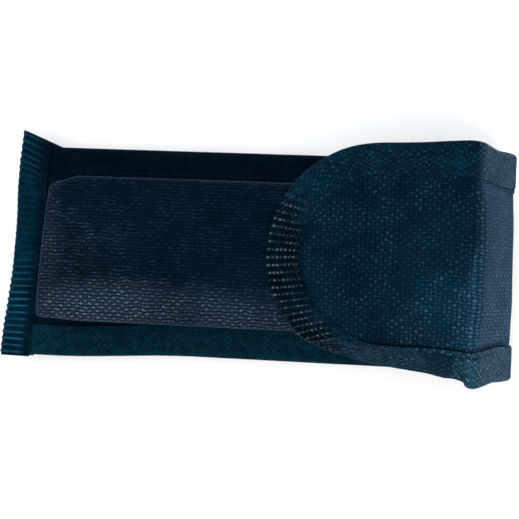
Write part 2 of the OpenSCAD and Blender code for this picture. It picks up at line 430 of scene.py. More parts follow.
def tape(name, edge, inward, where, material, width=TAPE_WIDTH, half=EDGE_HALF, rib=0.3, bead=0.6,
         count=72, lift=0.0, shown=None, inner=0.0, slant=0.0, pitch=RIB_PITCH):
    """A ribbed tape folded round an edge. edge and inward are rows of places on a surface. At each
    row shown is how much of the ribs shows and slant is how far they lean; they stop inner mm from
    the tape's edges, and pitch is from rib to rib."""
    steps = np.hypot(*(edge[1:] - edge[:-1]).T)
    run = np.concatenate([[0], np.cumsum(steps)])
    q, d, h, nd, nh = tape_section(width, half, TAPE_T, count)
    wander = 0.18 * ripple(run[:, None], q[None, :], 14, 11)
    lean = np.broadcast_to(slant, run.shape)[:, None] * (d - width / 2)
    along = (run[:, None] + wander + lean) * RIB_PITCH / pitch
    ribs = np.sin(np.pi * along / RIB_PITCH) ** 4 * (1 if shown is None else shown[:, None])
    ribs = ribs * ease(inner - 1, inner + 1.5, q) * ease(inner - 1, inner + 1.5, q[-1] - q)
    beads = 1 - bead + bead * np.sin(np.pi * q[None, :] / BEAD_PITCH) ** 2
    ends = ease(0, 0.8, q) * ease(0, 0.8, q[-1] - q)
    outer = TAPE_T / 2 * mix(0.5, 1, ends) + rib * ribs * beads * ends
    rise = np.sign(h) * lift * ease(width * 0.35, width, d)
    inner_pick = np.arange(count - 1, -1, -6)
    d2 = np.concatenate([d + nd * outer, np.broadcast_to(d - nd * 0.3, outer.shape)[:, inner_pick]], 1)
    h2 = np.concatenate([h + rise + nh * outer,
                         np.broadcast_to(h + rise - nh * 0.3, outer.shape)[:, inner_pick]], 1)
    place = edge[:, None, :] + inward[:, None, :] * d2[..., None]
    points = where(place[..., 0], place[..., 1], h2)
    q2 = np.concatenate([q, q[inner_pick], q[:1]])
    u2 = np.concatenate([along, along[:, inner_pick], along[:, :1]], 1)
    flat = np.stack(np.broadcast_arrays(u2, q2[None, :]), -1)
    return swept(name, points, flat, material)


def flap_edge(step, start_s):
    """The outline of the crown's top and the flap, from the left of the crown round the tip to the
    right, with the direction into the cloth."""
    s = spread(start_s, TIP_CENTRE_S, step)
    turn = spread(np.pi / 2, -np.pi / 2, step / TIP_R)[1:-1]
    side = np.stack([s, half_width(s)], -1)
    tip = np.stack([TIP_CENTRE_S + TIP_R * np.cos(turn), TIP_R * np.sin(turn)], -1)
    back = side[::-1] * [1, -1]
    edge = np.concatenate([side, tip, back])
    inward = np.concatenate([np.tile([0.0, -1.0], (len(s), 1)),
                             -np.stack([np.cos(turn), np.sin(turn)], -1),
                             np.tile([0.0, 1.0], (len(s), 1))])
    return edge, inward


# ---------------------------------------------------------------- the pocket

FACE_R, FOOT_R = 2.2, 1.4
CAP_ROWS, CAP_COLUMNS = 150, 61
DOME = 1.3
# The pocket's plan at each level: X of its closed end, half width, corner radius, and how much its
# corners are pinched in
TOP_PLAN = (-56.4, BOX_HALF + 0.3 - FACE_R, 0.8, 2.2)
WALL_PLAN = (-57.8, BOX_HALF + 0.3, 1.8, 2.2)
FOOT_PLAN = (-63.6, BOX_HALF + 0.1, 3.2, 0.4)
START_PLAN = (-64.9, BOX_HALF + FOOT_R, 3.6, 0.2)
OUTER_PLAN = (-72.0, SIDE_HALF - TAPE_T - 0.3, 2.0, 0.0)
# The foam ends at this ring of the wall, just above the flange
FOAM_RINGS = 17


def rim_x(z, beyond=0.0):
    """X of the pocket's slanted rim."""
    return FOOT_X - (z - FOOT_Z) * math.tan(LEAN) - (RIM_GAP - beyond) / math.cos(LEAN)


def skewed(x, y):
    """The closed end is sewn a little out of square."""
    return x + 0.074 * y * ease(-25, -60, x)


def pocket_outline(mouth_x, end_x, half, corner, pinch):
    """Plan of the pocket at one level: from the mouth down the left side, round and back."""
    lengthwise = mouth_x + (end_x + corner - mouth_x) * np.linspace(0, 1, CAP_ROWS - 4)
    turn = np.radians(90 + 90 * np.arange(1, 9) / 8)
    arc_x, arc_y = end_x + corner + corner * np.cos(turn), half - corner + corner * np.sin(turn)
    left_x = np.concatenate([lengthwise, arc_x[:4]])
    left_y = np.concatenate([np.full(CAP_ROWS - 4, half), arc_y[:4]])
    across = np.linspace(1, -1, CAP_COLUMNS - 8)[1:-1] * (half - corner)
    round_x, round_y = arc_x[4:], arc_y[4:]
    end_x_row = np.concatenate([round_x, np.full(len(across), end_x), round_x[::-1]])
    end_y_row = np.concatenate([round_y, across, -round_y[::-1]])
    x = np.concatenate([left_x, end_x_row, left_x[::-1]])
    y = np.concatenate([left_y, end_y_row, -left_y[::-1]])
    left = pinch * ease(end_x + 9, end_x + 0.5, x)
    right = 0.2 * pinch * ease(end_x + 14, end_x + 0.5, x)
    y = y * (1 - np.where(y > 0, left, right) / half) + 0.3
    return np.stack([skewed(x, y), y], -1)


def face_height(x, y):
    """Level of the pocket's face: domed where it is free, flatter under the flap."""
    dome = mix(DOME, 0.35, ease(-12, 22, x)) * (1 - np.clip(np.abs(y) / 17.5, 0, 1) ** 2.4)
    closed_end = -0.9 * ease(-44, -57, x)
    return FACE_Z - 0.35 + dome + closed_end + 0.16 * ripple(x, y, 26, 8) * ease(30, 0, x)


def coons(left, end, right):
    """Inner points of a patch from its left, end and right borders. The fourth is straight."""
    rows, columns = len(left), len(end)
    u = np.linspace(0, 1, rows)[:, None, None]
    v = np.linspace(0, 1, columns)[None, :, None]
    mouth = left[0] + (right[0] - left[0]) * v
    sides = left[:, None] + (right - left)[:, None] * v
    lengths = mouth + (end[None, :] - mouth) * u
    corners = (left[0] * (1 - u) * (1 - v) + right[0] * (1 - u) * v
               + left[-1] * u * (1 - v) + right[-1] * u * v)
    return sides + lengths - corners


def pocket_surface():
    """Points of the pocket's outer face, their numbers by cap and by ring, and the flat cloth."""
    top = pocket_outline(rim_x(FACE_Z), *TOP_PLAN)
    wall = pocket_outline(rim_x(FACE_Z - FACE_R), *WALL_PLAN)
    foot = pocket_outline(rim_x(FLANGE_Z + FOOT_R), *FOOT_PLAN)
    start = pocket_outline(rim_x(FLANGE_Z), *START_PLAN)
    outer = pocket_outline(FOOT_X - 1.0, *OUTER_PLAN)
    count = CAP_ROWS
    cap_plan = coons(top[:count], top[count - 1:-count + 1], top[::-1][:count])
    cap = np.dstack([cap_plan, face_height(cap_plan[..., 0], cap_plan[..., 1])])
    edge_z = face_height(top[:, 0], top[:, 1])
    wall_z = edge_z - FACE_R
    rings = []
    for angle in np.radians([15, 30, 45, 60, 75, 90]):
        rings.append(np.column_stack([mix(top, wall, math.sin(angle)),
                                      edge_z - FACE_R * (1 - math.cos(angle))]))
    for q in np.linspace(0, 1, 13)[1:]:
        z = mix(wall_z, FLANGE_Z + FOOT_R, q)
        plan = mix(wall, foot, q) * [1, 1 + 0.022 * math.sin(math.pi * q)]
        rings.append(np.column_stack([plan, z]))
    for angle in np.radians([30, 60, 90]):
        z = np.full(len(foot), FLANGE_Z + FOOT_R * (1 - math.sin(angle)))
        rings.append(np.column_stack([mix(foot, start, 1 - math.cos(angle)), z]))
    for q in np.linspace(0, 1, 7)[1:]:
        plan = mix(start, outer, q)
        rings.append(np.column_stack([plan, FLANGE_Z + panel_lift(*plan.T)]))
    return cap, np.array(rings)


def pocket_layer(name, cap, rings, material, outer_off, inner_off, last):
    """One layer of the pocket's wall. Offsets inward from the outer face run from the wall's to the
    flange's, and last is the ring that the layer ends at."""
    rings = rings[:last]
    build = Build()
    cap_count = cap.shape[0] * cap.shape[1]
    cap_ids = np.arange(cap_count).reshape(cap.shape[:2])
    around = np.concatenate([cap_ids[:, 0], cap_ids[-1, 1:], cap_ids[-2::-1, -1]])
    ring_ids = cap_count + np.arange(rings.shape[0] * rings.shape[1]).reshape(rings.shape[:2])
    ids = np.concatenate([around[None], ring_ids])
    points = np.concatenate([cap.reshape(-1, 3), rings.reshape(-1, 3)])
    normals = point_normals(points, [cap_ids, ids])
    side = np.gradient(points[around][:, :2], axis=0)
    out = np.stack([side[:, 1], -side[:, 0]], -1)
    out /= np.linalg.norm(out, axis=1)[:, None]
    out *= np.sign((out * points[around][:, :2]).sum(1).mean())
    column = points[ids]
    drop = np.cumsum(np.linalg.norm(np.diff(column, axis=0), axis=2), 0)
    ring_flat = column[0][:, :2] + np.concatenate([0 * drop[:1], drop])[..., None] * out
    share = np.zeros(len(points))
    share[ring_ids[18:]] = 1.0
    share[ring_ids[16:18]] = 0.5
    offs = [mix(o[0], o[1], share) for o in (outer_off, inner_off)]
    layers = [build.add(points - normals * off[:, None]) for off in offs]
    for numbers in layers:
        build.skin(numbers[cap_ids], cap[..., :2])
        build.skin(numbers[ids], ring_flat)
    rim = np.concatenate([cap_ids[0, :], ids[1:, -1], ids[-1, -2::-1], ids[-2::-1, 0]])
    flats = np.concatenate([cap[0, :, :2], ring_flat[1:, -1], ring_flat[-1, -2::-1],
                            ring_flat[-2::-1, 0]])
    close_rim(build, layers[0][rim], layers[1][rim], flats)
    return build.object(name, material)


def set_point_attribute(obj, amount, name="painted_light"):
    """Sets a point attribute of a piece, by default the painted light, by a function of its place in mm."""
    points = np.array([v.co for v in obj.data.vertices]) / MM
    layer = obj.data.attributes.new(name, "FLOAT", "POINT")
    layer.data.foreach_set("value", np.clip(amount(*points.T), 0, 1).astype(np.float32))


def pocket_painted_sheen(x, y, z):
    """Painted highlight: the pocket's face is painted lighter along its right side and round its closed
    end, as the sheen of the light.
    """
    side = ease(-6, -15, y + 0.04 * x) * (0.75 + 0.25 * ripple(x, y, 30, 14))
    side = side * mix(1.08, 0.78, ease(-45, 5, x))
    end = 0.38 * ease(-50, -55, x + 0.07 * y) + 0.14 * ease(-24, -46, x) * ease(16, 4, y)
    return np.maximum(side, end) * ease(36, 39, z)


def flap_painted_light(x, y, z):
    """Painted light: the crown, which faces the light, and the fold are painted lighter, more so to the
    right, and the flap beside it a little.
    """
    low = ease(8, -4, y)
    crown = (0.66 + 0.34 * ease(8, -22, y)) * ease(63.5 - 3 * low, 66 - 2 * low, x)
    right = 0.34 * ease(2, -14, y) * ease(36, 58, x)
    fold = 0.5 * ease(0, -9, y) * ease(55, 62, x)
    return np.maximum(np.maximum(crown, right), fold) + 0.05 * ripple(x, y, 18, 9)


def tape_painted_light(x, y, z):
    """Painted light as on the flap, and the tape's straight right-hand side is painted lighter too."""
    return np.maximum(flap_painted_light(x, y, z), 0.3 * ease(-20, -26, y) * ease(20, 40, x))


def end_bars(x, y, z):
    """The end tape's ribs show at its right half, and less at its left corner."""
    return np.maximum(mix(0.2, 1, ease(-2, -12, y)), 0.6 * ease(16, 26, y))


def tip_beads(x, y, z):
    """The tape's ribs show where it goes round the flap's tip."""
    return ease(27, 13, x + 0.3 * y) * ease(22, 12, y)


def point_normals(points, grids):
    """Unit normals of points, from the faces of the grids that they are in, pointing up and out."""
    total = np.zeros_like(points)
    for ids in grids:
        a, b, c, d = ids[:-1, :-1], ids[1:, :-1], ids[1:, 1:], ids[:-1, 1:]
        face = np.cross(points[c] - points[a], points[d] - points[b])
        for corner in (a, b, c, d):
            np.add.at(total, corner.ravel(), face.reshape(-1, 3))
    total /= np.maximum(np.linalg.norm(total, axis=1), 1e-9)[:, None]
    return total * (1 if total[:, 2].mean() > 0 else -1)


# ---------------------------------------------------------------- stitching

def capsules(build, a, b, normal, radius, lift):
    """Short threads from points a to points b, raised in the middle along the normals."""
    sides = 6
    t = np.array([0.0, 0.12, 0.5, 0.88, 1.0])
    girth = radius * np.array([0.3, 0.8, 1.0, 0.8, 0.3])
    rise = lift * np.array([-0.9, -0.1, 0.35, -0.1, -0.9])
    along = (b - a) / np.maximum(np.linalg.norm(b - a, axis=1), 1e-6)[:, None]
    across = np.cross(along, normal)
    across /= np.maximum(np.linalg.norm(across, axis=1), 1e-6)[:, None]
    up = np.cross(across, along)
    centre = a[:, None] + (b - a)[:, None] * t[None, :, None] + normal[:, None] * rise[None, :, None]
    turn = np.arange(sides) * math.tau / sides
    ring = (across[:, None, None] * np.cos(turn)[None, None, :, None]
            + up[:, None, None] * np.sin(turn)[None, None, :, None])
    points = centre[:, :, None] + ring * girth[None, :, None, None]
    flat_u = np.repeat((t * 3)[:, None], sides + 1, 1)
    flat_v = np.repeat((np.arange(sides + 1) * 0.3)[None], len(t), 0)
    flat = np.stack([flat_u, flat_v], -1)
    for one in points:
        ids = build.add(one)
        build.skin(wrapped(ids), flat)
        for row in (ids[0], ids[-1]):
            build.skin(np.array([[row[0], row[3]], [row[1], row[2]]]), flat[:2, :2])
            build.skin(np.array([[row[0], row[3]], [row[5], row[4]]]), flat[:2, :2])


def stitch_row(build, path, normals, pitch=2.6, length=2.0, radius=0.14, lift=0.12):
    """A row of stitches along a line of points on the cloth."""
    run = np.concatenate([[0], np.cumsum(np.linalg.norm(np.diff(path, axis=0), axis=1))])
    starts = np.arange(pitch / 2, run[-1] - length, pitch)

    def at(values, places):
        return np.stack([np.interp(places, run, values[:, k]) for k in range(3)], -1)

    capsules(build, at(path, starts), at(path, starts + length), at(normals, starts), radius, lift)


def surface_row(where, first, second, h, out=1.0):
    """Points and normals along a line of a surface, h mm out of it."""
    path = where(first, second, h)
    return path, (where(first, second, np.asarray(h) + out) - path) / abs(out)


# ---------------------------------------------------------------- materials

class Nodes:
    """Short forms for making a material's nodes. place is a point's place on the flat cloth, in mm,
    and u and v are its two parts."""

    def __init__(self, name):
        self.material = bpy.data.materials.new(name)
        self.material.use_nodes = True
        self.tree = self.material.node_tree
        self.shader = self.tree.nodes["Principled BSDF"]
        self.place = self.node("ShaderNodeUVMap", uv_map="cloth").outputs[0]
        self.u, self.v, _ = self.node("ShaderNodeSeparateXYZ", {0: self.place}).outputs

    def put(self, socket, value):
        if isinstance(value, bpy.types.NodeSocket):
            self.tree.links.new(value, socket)
        else:
            socket.default_value = value

    def node(self, kind, inputs=(), **settings):
        made = self.tree.nodes.new(kind)
        for key, value in settings.items():
            setattr(made, key, value)
        for key, value in dict(inputs).items():
            self.put(made.inputs[key], value)
        return made

    def math(self, operation, *values, clamp=False):
        inputs = dict(enumerate(values))
        return self.node("ShaderNodeMath", inputs, operation=operation, use_clamp=clamp).outputs[0]

    def times(self, first, *others):
        """The product of two or more values."""
        for other in others:
            first = self.math("MULTIPLY", first, other)
        return first

    def ramp(self, value, low, high, to_low=0.0, to_high=1.0):
        inputs = {"Value": value, "From Min": low, "From Max": high, "To Min": to_low, "To Max": to_high}
        return self.node("ShaderNodeMapRange", inputs, interpolation_type="SMOOTHSTEP").outputs[0]

    def blend(self, factor, a, b):
        return self.node("ShaderNodeMix", {0: factor, 6: a, 7: b}, data_type="RGBA").outputs[2]

    def shaded(self, colour, factor):
        """A colour made darker or lighter."""
        inputs = {0: colour[:3], "Scale": factor}
        return self.node("ShaderNodeVectorMath", inputs, operation="SCALE").outputs[0]

    def attribute(self, name):
        return self.node("ShaderNodeAttribute", attribute_name=name).outputs["Fac"]

    def noise(self, scale, detail=2.0):
        inputs = {"Vector": self.place, "Scale": scale, "Detail": detail}
        return self.node("ShaderNodeTexNoise", inputs).outputs[0]

    def patches(self, scale, detail, low, high, to_low, to_high):
        """Patches by chance: noise between low and high becomes a value between the last two."""
        return self.ramp(self.noise(scale, detail), low, high, to_low, to_high)

    def chance(self, u, v, pitch_u, pitch_v):
        """A number by chance for each cell of a weave."""
        cell = self.node("ShaderNodeCombineXYZ", {0: self.math("FLOOR", self.math("DIVIDE", u, pitch_u)),
                                                  1: self.math("FLOOR", self.math("DIVIDE", v, pitch_v))})
        inputs = {"Vector": cell.outputs[0]}
        return self.node("ShaderNodeTexWhiteNoise", inputs, noise_dimensions="2D").outputs[0]

    def wave(self, value, pitch):
        """Sine that changes sign every pitch mm."""
        return self.math("SINE", self.times(value, math.pi / pitch))

    def ridges(self, value, pitch):
        """Ridges pitch mm apart, from 0 between them to 1."""
        return self.math("ABSOLUTE", self.wave(value, pitch))

    def finish(self, colour, roughness, height, depth, **constants):
        bump = self.node("ShaderNodeBump", {"Height": height, "Distance": depth * MM, "Strength": 1.0})
        self.put(self.shader.inputs["Normal"], bump.outputs[0])
        self.put(self.shader.inputs["Base Color"], colour)
        self.put(self.shader.inputs["Roughness"], roughness)
        for key, value in constants.items():
            self.shader.inputs[key.replace("_", " ")].default_value = value
        return self.material


def rgb(red, green, blue):
    """A colour from the 0 to 255 numbers that a screen shows."""
    def linear(c):
        c /= 255
        return c / 12.92 if c <= 0.04045 else ((c + 0.055) / 1.055) ** 2.4
    return (linear(red), linear(green), linear(blue), 1.0)


WARP, WEFT = 1.25, 0.98
SHEEN = (0.1, 0.42, 0.95, 1.0)
GLINT = (0.1, 0.52, 1.0, 1.0)
CLOTH = {"Sheen_Roughness": 0.3, "Sheen_Tint": SHEEN, "Specular_IOR_Level": 0.08, "Specular_Tint": GLINT}


def lattice(n, warp, weft, stir):
    """A plain weave's floats, cross floats and rows, and a number for each cell by chance."""
    u = n.math("MULTIPLY_ADD", n.math("SUBTRACT", n.noise(0.4), 0.5), stir * warp, n.u)
    v = n.math("MULTIPLY_ADD", n.math("SUBTRACT", n.noise(0.33, 1.0), 0.5), stir * weft, n.v)
    across, down = n.wave(u, warp), n.wave(v, weft)
    sizes = [n.math("ABSOLUTE", value) for value in (across, down)]
    return n.times(across, down), *sizes, n.chance(u, v, warp, weft)


def weave_material(name, dark, light, lit_dark, lit_light, warp=WARP, weft=WEFT, depth=0.09,
                   lines=0.3, under=0.3, lit_under=0.3, even=0.25, tall=False):
    """Coarse plain-woven nylon. Where the attribute painted_light is 1 the two lit colours take over, as
    painted light. lines is how much the rows show over the single floats, even is how little the floats
    differ, and tall floats run across the cloth."""
    n = Nodes(name)
    cross, across, down, chance = lattice(n, warp, weft, 1.3)
    thin, long = (across, down) if tall else (down, across)
    floats = n.times(n.ramp(thin, 0.4, 0.85), n.ramp(long, 0.1, 0.6), n.ramp(cross, 0.0, 0.15))
    unders = n.times(n.ramp(long, 0.4, 0.9), n.ramp(cross, 0.0, -0.4))
    lit_mask = n.attribute("painted_light")
    crossing = n.times(unders, n.math("MULTIPLY_ADD", lit_mask, lit_under - under, under))
    ruled = n.math("MULTIPLY_ADD", lit_mask, -0.7 * lines, lines)
    soft = n.blend(ruled, n.math("MAXIMUM", floats, crossing), n.ramp(down, 0.45, 0.95))
    irregular = n.times(n.ramp(chance, 0.0, 1.0, even, 1.0), n.patches(0.14, 4.0, 0.36, 0.64, 0.35, 1.0),
                        n.patches(1.9, 3.0, 0.36, 0.6, 0.15, 1.0))
    factor = n.times(soft, n.math("MAXIMUM", irregular, n.times(lit_mask, 0.42)))
    pit = n.ramp(n.math("MAXIMUM", across, down), 0.35, 0.8, 0.7, 1.0)
    body = n.shaded(dark, n.times(n.patches(0.035, 3.0, 0.35, 0.65, 0.75, 1.25), pit))
    colour = n.blend(factor, n.blend(lit_mask, body, lit_dark), n.blend(lit_mask, light, lit_light))
    height = n.math("MAXIMUM", floats, n.times(unders, 0.7))
    return n.finish(colour, n.ramp(factor, 0, 1, 0.8, 0.5), height, depth, Sheen_Weight=0.15, **CLOTH)


def tape_material(name, dark, light, bright, bars=1.0, beads=1.0, specks=1.0, inner=0.0, gap=0.75,
                  inner_shade=0.0):
    """Woven tape. Where the attribute beads is 1 it shows thin ribs across it, with a bead at each
    crossing; elsewhere a speckled weave. Where painted_light is 1 the tape is painted lighter as lit.
    gap is how dark it is between the ribs and inner_shade how much painted shade darkens its inner edge."""
    n = Nodes(name)
    ribbed, lit_mask = n.attribute("beads"), n.attribute("painted_light")
    rib = n.ramp(n.ridges(n.u, RIB_PITCH), 0.82, 1.0)
    stirred = n.math("MULTIPLY_ADD", n.noise(0.6), 1.6, n.v)
    chance = n.ramp(n.chance(n.u, stirred, RIB_PITCH, BEAD_PITCH), 0, 1, 0.1, 1.0)
    where = n.times(ribbed, n.ramp(n.v, inner, inner + 2.5))
    knot = n.times(n.ramp(n.ridges(stirred, BEAD_PITCH), 0.5, 1.0), rib, chance, beads,
                   n.patches(0.16, 1.0, 0.35, 0.6, 0.4, 1.0))
    knot = n.math("MULTIPLY", knot, where, clamp=True)
    bar = n.times(rib, n.patches(0.13, 3.0, 0.36, 0.64, 0.35, 1.0), bars, where)
    cross, _, _, own = lattice(n, 1.0, 0.8, 2.2)
    speck = n.times(n.ramp(cross, 0.0, 0.8), n.patches(1.7, 3.0, 0.4, 0.62, 0.1, 1.0),
                    n.ramp(own, 0, 1, 0.2, 1.0), n.math("SUBTRACT", 1.0, n.times(ribbed, 0.75)),
                    n.math("MULTIPLY_ADD", lit_mask, 0.8, specks * 0.6))
    mottled = n.patches(0.45, 3.0, 0.36, 0.64, 0.72, 1.28)
    shade = n.math("MULTIPLY_ADD", ribbed, -gap, n.patches(0.09, 3.0, 0.35, 0.65, 0.75, 1.25))
    shade = n.times(shade, mottled, n.ramp(n.v, 1.0, 6.0, 1 - inner_shade, 1.0))
    body = n.blend(n.times(lit_mask, 0.5), n.shaded(dark, shade), n.shaded(light, mottled))
    colour = n.blend(n.math("MAXIMUM", bar, speck, clamp=True), body, n.blend(lit_mask, light, bright))
    height = n.math("ADD", n.times(cross, 0.6), n.noise(1.8))
    return n.finish(n.blend(knot, colour, bright), n.ramp(speck, 0, 1, 0.8, 0.5), height, 0.05,
                    Sheen_Weight=0.12, **CLOTH)


def foam_material(name, dark, light):
    """Closed-cell foam: small rounded cells."""
    n = Nodes(name)
    cells = n.node("ShaderNodeTexVoronoi", {"Vector": n.place, "Scale": 2.2}).outputs[0]
    colour = n.blend(n.ramp(cells, 0.0, 0.6), dark, light)
    return n.finish(colour, n.ramp(cells, 0, 0.6, 0.95, 0.8), cells, 0.08, Specular_IOR_Level=0.25)


def pile_material(name, dark, light, scale, depth):
    """Napped loops or hooks: a tangle of fine fibres."""
    n = Nodes(name)
    tangle = n.noise(scale, 4.0)
    colour = n.blend(n.ramp(tangle, 0.38, 0.66), dark, light)
    rough = n.ramp(tangle, 0.3, 0.7, 0.95, 0.7)
    return n.finish(colour, rough, tangle, depth, Sheen_Weight=0.2, **CLOTH)


def thread_material(name, dark, light):
    """Twisted thread: slanting strands."""
    n = Nodes(name)
    twist = n.wave(n.math("ADD", n.u, n.times(n.v, 0.8)), 0.22)
    colour = n.blend(n.ramp(twist, -0.6, 0.8), dark, light)
    return n.finish(colour, n.ramp(twist, -1, 1, 0.8, 0.6), twist, 0.03, Sheen_Weight=0.1, **CLOTH)


# The last two colours are the lit look of the crown and fold: painted light.
FABRIC = weave_material("coarse_nylon", rgb(1, 14, 25), rgb(20, 52, 68), rgb(5, 32, 50),
                        rgb(66, 102, 124), lines=0.1, under=0.2, lit_under=0.6, even=0.4, tall=True)
# The last two colours are a painted grey highlight, the sheen on the face's right side and closed end.
FACE_FABRIC = weave_material("face_nylon", rgb(1, 6, 13), rgb(13, 33, 46), rgb(8, 20, 31),
                             rgb(88, 102, 110), warp=1.2, lines=0.6, under=0.1, lit_under=0.1)
# bright is the beads' colour and, where the tape is marked, its painted light.
TAPE = tape_material("beaded_tape", rgb(1, 18, 29), rgb(30, 66, 84), rgb(88, 98, 104), bars=0.16,
                     beads=0.75, gap=0.95)
# inner_shade darkens this tape towards the pocket's wall: painted shade.
END_TAPE = tape_material("barred_tape", rgb(1, 26, 40), rgb(16, 60, 80), rgb(40, 92, 114), beads=0.3,
                         specks=0.5, inner=1.5, gap=0.3, inner_shade=0.55)
# dark is the left tape's shaded look and bright the right tape's lit look: painted shade and painted light.
SIDE_TAPE = tape_material("smooth_tape", rgb(2, 7, 16), rgb(4, 42, 54), rgb(16, 62, 74), bars=0.0,
                          beads=0.0, specks=0.04)
LINING = weave_material("fine_lining", rgb(6, 14, 21), rgb(22, 36, 48), rgb(8, 18, 26), rgb(30, 44, 56),
                        0.24, 0.24, 0.03)
WEBBING = weave_material("heavy_webbing", rgb(4, 22, 34), rgb(30, 58, 74), rgb(9, 30, 44),
                         rgb(50, 76, 92), 1.3, 0.6, 0.14, even=0.6)
FOAM = foam_material("closed_cell_foam", rgb(24, 26, 29), rgb(52, 56, 60))
LOOPS = pile_material("loop_pile", rgb(1, 6, 11), rgb(20, 32, 42), 3.2, 0.35)
HOOKS = pile_material("hook_field", rgb(1, 5, 9), rgb(16, 26, 34), 2.0, 0.1)
THREAD = thread_material("bonded_thread", rgb(1, 12, 22), rgb(8, 34, 48))


# ---------------------------------------------------------------- pieces: flap and crown

# The weave on the crown is drawn out along it
CROWN_WEAVE = 0.65


def between(name, grid_s, grid_y, high, low, material):
    """A layer of the strip between two heights."""
    stretched = np.where(grid_s < RISE, RISE + (grid_s - RISE) * CROWN_WEAVE, grid_s)
    flat = np.stack([stretched, grid_y], -1)
    return thick_layer(name, strip(grid_s, grid_y, high), strip(grid_s, grid_y, low), flat, material)


def shell_thickness(s, y):
    return 0.45 + 0.45 * ease(TAPE_WIDTH - 1, TAPE_WIDTH + 3, edge_distance(s, y))


def make_flap():
    tip_end = TIP_CENTRE_S + 28.6
    s = np.concatenate([spread(MID_S, TIP_CENTRE_S, 0.6)[:-1], spread(TIP_CENTRE_S, tip_end, 0.6)])
    gs, gy = strip_grid(s, 1.4)
    top, low = stack_top(gs, gy), stack_low(gs, gy)
    fabric = between("flap_fabric", gs, gy, top, top - shell_thickness(gs, gy), FABRIC)
    lining_t = mix(0.35, LINING_T, ease(9, 12, edge_distance(gs, gy)))
    lining = between("flap_lining_cloth", gs, gy, low + lining_t, low, LINING)
    edge, inward = flap_edge(0.3, MID_S)
    x = FOLD_X + RISE - edge[:, 0]
    shown = tip_beads(x, edge[:, 1], 0)
    slant = 0.7 * edge[:, 1] / np.maximum(edge[:, 0] - TIP_CENTRE_S, 12) * shown
    binding = tape("flap_tape", edge, inward, strip, TAPE, rib=0.4, shown=mix(0.06, 1, shown),
                   slant=slant, pitch=TIP_RIB_PITCH)
    # Painted light on the crown, the fold and the flap's lower right, and on its tape.
    set_point_attribute(fabric, flap_painted_light)
    set_point_attribute(binding, tape_painted_light)
    set_point_attribute(binding, tip_beads, "beads")
    return fabric, lining, binding


def make_board(name, s_low, s_high):
    """The stiff board between the strip's fabric and its lining."""
    gs, gy = strip_grid(spread(s_low, s_high, 1.0), TAPE_WIDTH + 1.2, 41)
    high = stack_top(gs, gy) - shell_thickness(gs, gy) - 0.02
    return between(name, gs, gy, high, stack_low(gs, gy) + 0.52, FOAM)


def make_flap_stitches():
    build = Build()
    edge, inward = flap_edge(0.5, MID_S)
    place = edge + inward * (TAPE_WIDTH - 1.6)
    for height, out in ((1.55, 1.0), (-1.55, -1.0)):
        stitch_row(build, *surface_row(strip, place[:, 0], place[:, 1], height, out), pitch=2.4)
    return build.object("flap_stitches", THREAD)


def make_flap_tack():
    """Close zigzag stitches over the right-hand tape, near the fold."""
    build = Build()
    for x in np.arange(-3.4, 3.5, 0.62):
        s = RISE + 7.5 + x
        y = -(half_width(s) - np.array([1.6, 8.6]))
        a, na = surface_row(strip, np.array([s]), y[:1], 1.75)
        b, _ = surface_row(strip, np.array([s + 0.3]), y[1:], 1.75)
        for k in range(4):
            lo, hi = mix(a, b, k / 4), mix(a, b, (k + 0.9) / 4)
            capsules(build, lo, hi, na, 0.15, 0.08)
    return build.object("flap_corner_tack", THREAD)


HOOK_PITCH = 1.5


def make_hook_field():
    """The hook patch under the flap: a base with rows of small bent hooks."""
    s_low, s_high = RISE + FOLD_X - HOOKS_HIGH[0], RISE + FOLD_X - HOOKS_LOW[0]
    gs, gy = field((s_low, HOOKS_LOW[1]), (s_high, HOOKS_HIGH[1]), 0.8, 0.8)
    base = stack_low(gs, gy)
    build = Build()
    add_layer(build, strip(gs, gy, base), strip(gs, gy, base - 0.35), np.stack([gs, gy], -1))
    hs, hy = np.meshgrid(np.arange(s_low + 1, s_high - 0.8, HOOK_PITCH),
                         np.arange(HOOKS_LOW[1] + 1, HOOKS_HIGH[1] - 0.8, HOOK_PITCH), indexing="ij")
    hs, hy = hs.ravel(), hy.ravel()
    foot = stack_low(hs, hy) - 0.3
    lean = np.where((np.arange(len(hs)) % 2) == 0, 0.25, -0.25)
    sideways = np.tile([0.0, 1.0, 0.0], (len(hs), 1))
    capsules(build, strip(hs, hy, foot), strip(hs + lean, hy, foot - 0.45), sideways, 0.13, 0)
    return build.object("hook_field", HOOKS)


# ---------------------------------------------------------------- pieces: back panel

def back_half(s):
    """Half width of the cloth under the tapes, from the closed end up the crown."""
    crown = half_width(np.maximum(s, 0)) - 1.4
    return np.where(s > 0, crown, mix(SIDE_HALF - 1.2, FOOT_HALF - 1.4, ease(-8, 0, s)))


def back_grid(columns=61):
    """Grid of (s, y) from the closed end to the middle of the crown."""
    rows = np.concatenate([np.linspace(0, 1, 110) * 0.94, 0.94 + 0.06 * np.linspace(0, 1, 20)[1:]])
    t = np.linspace(-1, 1, columns)[None, :]
    near = -6.0
    u = rows[:, None]
    side_guess = t * (SIDE_HALF - 1.2)
    start = end_line(side_guess) + 1.3 - FOOT_X
    s_back = mix(start, near, np.clip(u / 0.9, 0, 1))
    s = np.where(u < 0.9, s_back, mix(near, MID_S, (u - 0.9) / 0.1))
    x = FOOT_X + np.minimum(s, 0)
    flare = side_line(x, t) - SIDE_HALF
    return s, t * (back_half(s) + flare)


